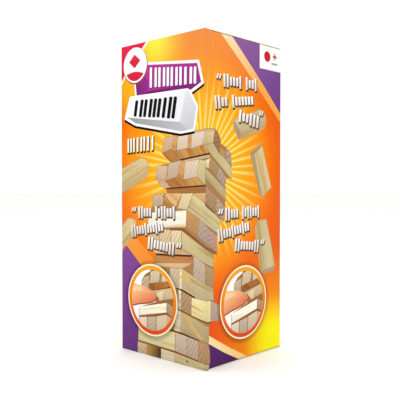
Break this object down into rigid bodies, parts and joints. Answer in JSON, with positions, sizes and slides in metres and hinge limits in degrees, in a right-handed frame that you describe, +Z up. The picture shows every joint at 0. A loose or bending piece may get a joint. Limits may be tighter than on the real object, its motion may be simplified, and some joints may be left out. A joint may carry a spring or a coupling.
{
  "type": "boxed mini tumbling tower game",
  "caption": "Mini tumbling tower game: loose wooden blocks stacked in crossed layers inside a tall printed folding carton with tuck ends.",
  "frame": {"origin": "middle of the carton's base, on the surface it stands on", "axes": "+Z up along the tower, -Y out of the carton's front, +X out of its right side"},
  "size_m": [0.058, 0.056, 0.1515],
  "materials": {
    "printed_board": "satin",
    "pine": "matte"
  },
  "bodies": {
    "carton": {"front_panel": "printed_board", "back_panel": "printed_board", "left_panel": "printed_board", "right_panel": "printed_board"},
    "top_lid": {"top_lid": "printed_board"},
    "top_tuck_tab": {"top_tuck_tab": "printed_board"},
    "top_dust_flap_left": {"top_dust_flap_left": "printed_board"},
    "top_dust_flap_right": {"top_dust_flap_right": "printed_board"},
    "bottom_lid": {"bottom_lid": "printed_board"},
    "bottom_tuck_tab": {"bottom_tuck_tab": "printed_board"},
    "bottom_dust_flap_left": {"bottom_dust_flap_left": "printed_board"},
    "bottom_dust_flap_right": {"bottom_dust_flap_right": "printed_board"},
    "block_stack": {"block_01_left": "pine", "block_01_middle": "pine", "block_01_right": "pine"},
    "block_02_front": {"block_02_front": "pine"},
    "block_02_middle": {"block_02_middle": "pine"},
    "block_02_back": {"block_02_back": "pine"},
    "block_03_left": {"block_03_left": "pine"},
    "block_03_middle": {"block_03_middle": "pine"},
    "block_03_right": {"block_03_right": "pine"},
    "block_04_front": {"block_04_front": "pine"},
    "block_04_middle": {"block_04_middle": "pine"},
    "block_04_back": {"block_04_back": "pine"},
    "block_05_left": {"block_05_left": "pine"},
    "block_05_middle": {"block_05_middle": "pine"},
    "block_05_right": {"block_05_right": "pine"},
    "block_06_front": {"block_06_front": "pine"},
    "block_06_middle": {"block_06_middle": "pine"},
    "block_06_back": {"block_06_back": "pine"},
    "block_07_left": {"block_07_left": "pine"},
    "block_07_middle": {"block_07_middle": "pine"},
    "block_07_right": {"block_07_right": "pine"},
    "block_08_front": {"block_08_front": "pine"},
    "block_08_middle": {"block_08_middle": "pine"},
    "block_08_back": {"block_08_back": "pine"},
    "block_09_left": {"block_09_left": "pine"},
    "block_09_middle": {"block_09_middle": "pine"},
    "block_09_right": {"block_09_right": "pine"},
    "block_10_front": {"block_10_front": "pine"},
    "block_10_middle": {"block_10_middle": "pine"},
    "block_10_back": {"block_10_back": "pine"},
    "block_11_left": {"block_11_left": "pine"},
    "block_11_middle": {"block_11_middle": "pine"},
    "block_11_right": {"block_11_right": "pine"},
    "block_12_front": {"block_12_front": "pine"},
    "block_12_middle": {"block_12_middle": "pine"},
    "block_12_back": {"block_12_back": "pine"},
    "block_13_left": {"block_13_left": "pine"},
    "block_13_middle": {"block_13_middle": "pine"},
    "block_13_right": {"block_13_right": "pine"},
    "block_14_front": {"block_14_front": "pine"},
    "block_14_middle": {"block_14_middle": "pine"},
    "block_14_back": {"block_14_back": "pine"},
    "block_15_left": {"block_15_left": "pine"},
    "block_15_middle": {"block_15_middle": "pine"},
    "block_15_right": {"block_15_right": "pine"},
    "block_16_front": {"block_16_front": "pine"},
    "block_16_middle": {"block_16_middle": "pine"},
    "block_16_back": {"block_16_back": "pine"}
  },
  "joints": [
    {"name": "lid_top_hinge", "type": "hinge", "parent": "carton", "child": "top_lid", "pos_m": [0, 0.028, 0.1515], "axis": [-1, 0, 0], "range_deg": [0, 210]},
    {"name": "lid_top_tab_crease", "type": "hinge", "parent": "top_lid", "child": "top_tuck_tab", "pos_m": [0, -0.0274, 0.15105], "axis": [-1, 0, 0], "range_deg": [0, 45]},
    {"name": "flap_top_left_crease", "type": "hinge", "parent": "carton", "child": "top_dust_flap_left", "pos_m": [-0.029, 0, 0.15095], "axis": [0, -1, 0], "range_deg": [0, 110]},
    {"name": "flap_top_right_crease", "type": "hinge", "parent": "carton", "child": "top_dust_flap_right", "pos_m": [0.029, 0, 0.15095], "axis": [0, 1, 0], "range_deg": [0, 110]},
    {"name": "lid_bottom_hinge", "type": "hinge", "parent": "carton", "child": "bottom_lid", "pos_m": [0, 0.028, 0], "axis": [1, 0, 0], "range_deg": [0, 210]},
    {"name": "lid_bottom_tab_crease", "type": "hinge", "parent": "bottom_lid", "child": "bottom_tuck_tab", "pos_m": [0, -0.0274, 0.00045], "axis": [1, 0, 0], "range_deg": [0, 45]},
    {"name": "flap_bottom_left_crease", "type": "hinge", "parent": "carton", "child": "bottom_dust_flap_left", "pos_m": [-0.029, 0, 0.00055], "axis": [0, 1, 0], "range_deg": [0, 110]},
    {"name": "flap_bottom_right_crease", "type": "hinge", "parent": "carton", "child": "bottom_dust_flap_right", "pos_m": [0.029, 0, 0.00055], "axis": [0, -1, 0], "range_deg": [0, 110]},
    {"name": "lift_stack", "type": "slide", "parent": "carton", "child": "block_stack", "axis": [0, 0, 1], "range_m": [0, 0.0044]},
    {"name": "push_block_02_front", "type": "slide", "parent": "block_stack", "child": "block_02_front", "axis": [1, 0, 0], "range_m": [-0.0016, 0.0016]},
    {"name": "push_block_02_middle", "type": "slide", "parent": "block_stack", "child": "block_02_middle", "axis": [1, 0, 0], "range_m": [-0.0016, 0.0016]},
    {"name": "push_block_02_back", "type": "slide", "parent": "block_stack", "child": "block_02_back", "axis": [1, 0, 0], "range_m": [-0.0016, 0.0016]},
    {"name": "push_block_03_left", "type": "slide", "parent": "block_stack", "child": "block_03_left", "axis": [0, 1, 0], "range_m": [-0.0018, 0.0002]},
    {"name": "push_block_03_middle", "type": "slide", "parent": "block_stack", "child": "block_03_middle", "axis": [0, 1, 0], "range_m": [-0.0018, 0.0002]},
    {"name": "push_block_03_right", "type": "slide", "parent": "block_stack", "child": "block_03_right", "axis": [0, 1, 0], "range_m": [-0.0018, 0.0002]},
    {"name": "push_block_04_front", "type": "slide", "parent": "block_stack", "child": "block_04_front", "axis": [1, 0, 0], "range_m": [-0.0016, 0.0016]},
    {"name": "push_block_04_middle", "type": "slide", "parent": "block_stack", "child": "block_04_middle", "axis": [1, 0, 0], "range_m": [-0.0016, 0.0016]},
    {"name": "push_block_04_back", "type": "slide", "parent": "block_stack", "child": "block_04_back", "axis": [1, 0, 0], "range_m": [-0.0016, 0.0016]},
    {"name": "push_block_05_left", "type": "slide", "parent": "block_stack", "child": "block_05_left", "axis": [0, 1, 0], "range_m": [-0.0018, 0.0002]},
    {"name": "push_block_05_middle", "type": "slide", "parent": "block_stack", "child": "block_05_middle", "axis": [0, 1, 0], "range_m": [-0.0018, 0.0002]},
    {"name": "push_block_05_right", "type": "slide", "parent": "block_stack", "child": "block_05_right", "axis": [0, 1, 0], "range_m": [-0.0018, 0.0002]},
    {"name": "push_block_06_front", "type": "slide", "parent": "block_stack", "child": "block_06_front", "axis": [1, 0, 0], "range_m": [-0.0016, 0.0016]},
    {"name": "push_block_06_middle", "type": "slide", "parent": "block_stack", "child": "block_06_middle", "axis": [1, 0, 0], "range_m": [-0.0016, 0.0016]},
    {"name": "push_block_06_back", "type": "slide", "parent": "block_stack", "child": "block_06_back", "axis": [1, 0, 0], "range_m": [-0.0016, 0.0016]},
    {"name": "push_block_07_left", "type": "slide", "parent": "block_stack", "child": "block_07_left", "axis": [0, 1, 0], "range_m": [-0.0018, 0.0002]},
    {"name": "push_block_07_middle", "type": "slide", "parent": "block_stack", "child": "block_07_middle", "axis": [0, 1, 0], "range_m": [-0.0018, 0.0002]},
    {"name": "push_block_07_right", "type": "slide", "parent": "block_stack", "child": "block_07_right", "axis": [0, 1, 0], "range_m": [-0.0018, 0.0002]},
    {"name": "push_block_08_front", "type": "slide", "parent": "block_stack", "child": "block_08_front", "axis": [1, 0, 0], "range_m": [-0.0016, 0.0016]},
    {"name": "push_block_08_middle", "type": "slide", "parent": "block_stack", "child": "block_08_middle", "axis": [1, 0, 0], "range_m": [-0.0016, 0.0016]},
    {"name": "push_block_08_back", "type": "slide", "parent": "block_stack", "child": "block_08_back", "axis": [1, 0, 0], "range_m": [-0.0016, 0.0016]},
    {"name": "push_block_09_left", "type": "slide", "parent": "block_stack", "child": "block_09_left", "axis": [0, 1, 0], "range_m": [-0.0018, 0.0002]},
    {"name": "push_block_09_middle", "type": "slide", "parent": "block_stack", "child": "block_09_middle", "axis": [0, 1, 0], "range_m": [-0.0018, 0.0002]},
    {"name": "push_block_09_right", "type": "slide", "parent": "block_stack", "child": "block_09_right", "axis": [0, 1, 0], "range_m": [-0.0018, 0.0002]},
    {"name": "push_block_10_front", "type": "slide", "parent": "block_stack", "child": "block_10_front", "axis": [1, 0, 0], "range_m": [-0.0016, 0.0016]},
    {"name": "push_block_10_middle", "type": "slide", "parent": "block_stack", "child": "block_10_middle", "axis": [1, 0, 0], "range_m": [-0.0016, 0.0016]},
    {"name": "push_block_10_back", "type": "slide", "parent": "block_stack", "child": "block_10_back", "axis": [1, 0, 0], "range_m": [-0.0016, 0.0016]},
    {"name": "push_block_11_left", "type": "slide", "parent": "block_stack", "child": "block_11_left", "axis": [0, 1, 0], "range_m": [-0.0018, 0.0002]},
    {"name": "push_block_11_middle", "type": "slide", "parent": "block_stack", "child": "block_11_middle", "axis": [0, 1, 0], "range_m": [-0.0018, 0.0002]},
    {"name": "push_block_11_right", "type": "slide", "parent": "block_stack", "child": "block_11_right", "axis": [0, 1, 0], "range_m": [-0.0018, 0.0002]},
    {"name": "push_block_12_front", "type": "slide", "parent": "block_stack", "child": "block_12_front", "axis": [1, 0, 0], "range_m": [-0.0016, 0.0016]},
    {"name": "push_block_12_middle", "type": "slide", "parent": "block_stack", "child": "block_12_middle", "axis": [1, 0, 0], "range_m": [-0.0016, 0.0016]},
    {"name": "push_block_12_back", "type": "slide", "parent": "block_stack", "child": "block_12_back", "axis": [1, 0, 0], "range_m": [-0.0016, 0.0016]},
    {"name": "push_block_13_left", "type": "slide", "parent": "block_stack", "child": "block_13_left", "axis": [0, 1, 0], "range_m": [-0.0018, 0.0002]},
    {"name": "push_block_13_middle", "type": "slide", "parent": "block_stack", "child": "block_13_middle", "axis": [0, 1, 0], "range_m": [-0.0018, 0.0002]},
    {"name": "push_block_13_right", "type": "slide", "parent": "block_stack", "child": "block_13_right", "axis": [0, 1, 0], "range_m": [-0.0018, 0.0002]},
    {"name": "push_block_14_front", "type": "slide", "parent": "block_stack", "child": "block_14_front", "axis": [1, 0, 0], "range_m": [-0.0016, 0.0016]},
    {"name": "push_block_14_middle", "type": "slide", "parent": "block_stack", "child": "block_14_middle", "axis": [1, 0, 0], "range_m": [-0.0016, 0.0016]},
    {"name": "push_block_14_back", "type": "slide", "parent": "block_stack", "child": "block_14_back", "axis": [1, 0, 0], "range_m": [-0.0016, 0.0016]},
    {"name": "push_block_15_left", "type": "slide", "parent": "block_stack", "child": "block_15_left", "axis": [0, 1, 0], "range_m": [-0.0018, 0.0002]},
    {"name": "push_block_15_middle", "type": "slide", "parent": "block_stack", "child": "block_15_middle", "axis": [0, 1, 0], "range_m": [-0.0018, 0.0002]},
    {"name": "push_block_15_right", "type": "slide", "parent": "block_stack", "child": "block_15_right", "axis": [0, 1, 0], "range_m": [-0.0018, 0.0002]},
    {"name": "push_block_16_front", "type": "slide", "parent": "block_stack", "child": "block_16_front", "axis": [1, 0, 0], "range_m": [-0.0016, 0.0016]},
    {"name": "push_block_16_middle", "type": "slide", "parent": "block_stack", "child": "block_16_middle", "axis": [1, 0, 0], "range_m": [-0.0016, 0.0016]},
    {"name": "push_block_16_back", "type": "slide", "parent": "block_stack", "child": "block_16_back", "axis": [1, 0, 0], "range_m": [-0.0016, 0.0016]}
  ],
  "couplings": [
    {"joint": "lid_top_tab_crease", "follows": "lid_top_hinge", "ratio": 0.2},
    {"joint": "flap_top_left_crease", "follows": "lid_top_hinge", "ratio": 0.5},
    {"joint": "flap_top_right_crease", "follows": "lid_top_hinge", "ratio": 0.5},
    {"joint": "lid_bottom_tab_crease", "follows": "lid_bottom_hinge", "ratio": 0.2},
    {"joint": "flap_bottom_left_crease", "follows": "lid_bottom_hinge", "ratio": 0.5},
    {"joint": "flap_bottom_right_crease", "follows": "lid_bottom_hinge", "ratio": 0.5}
  ]
}
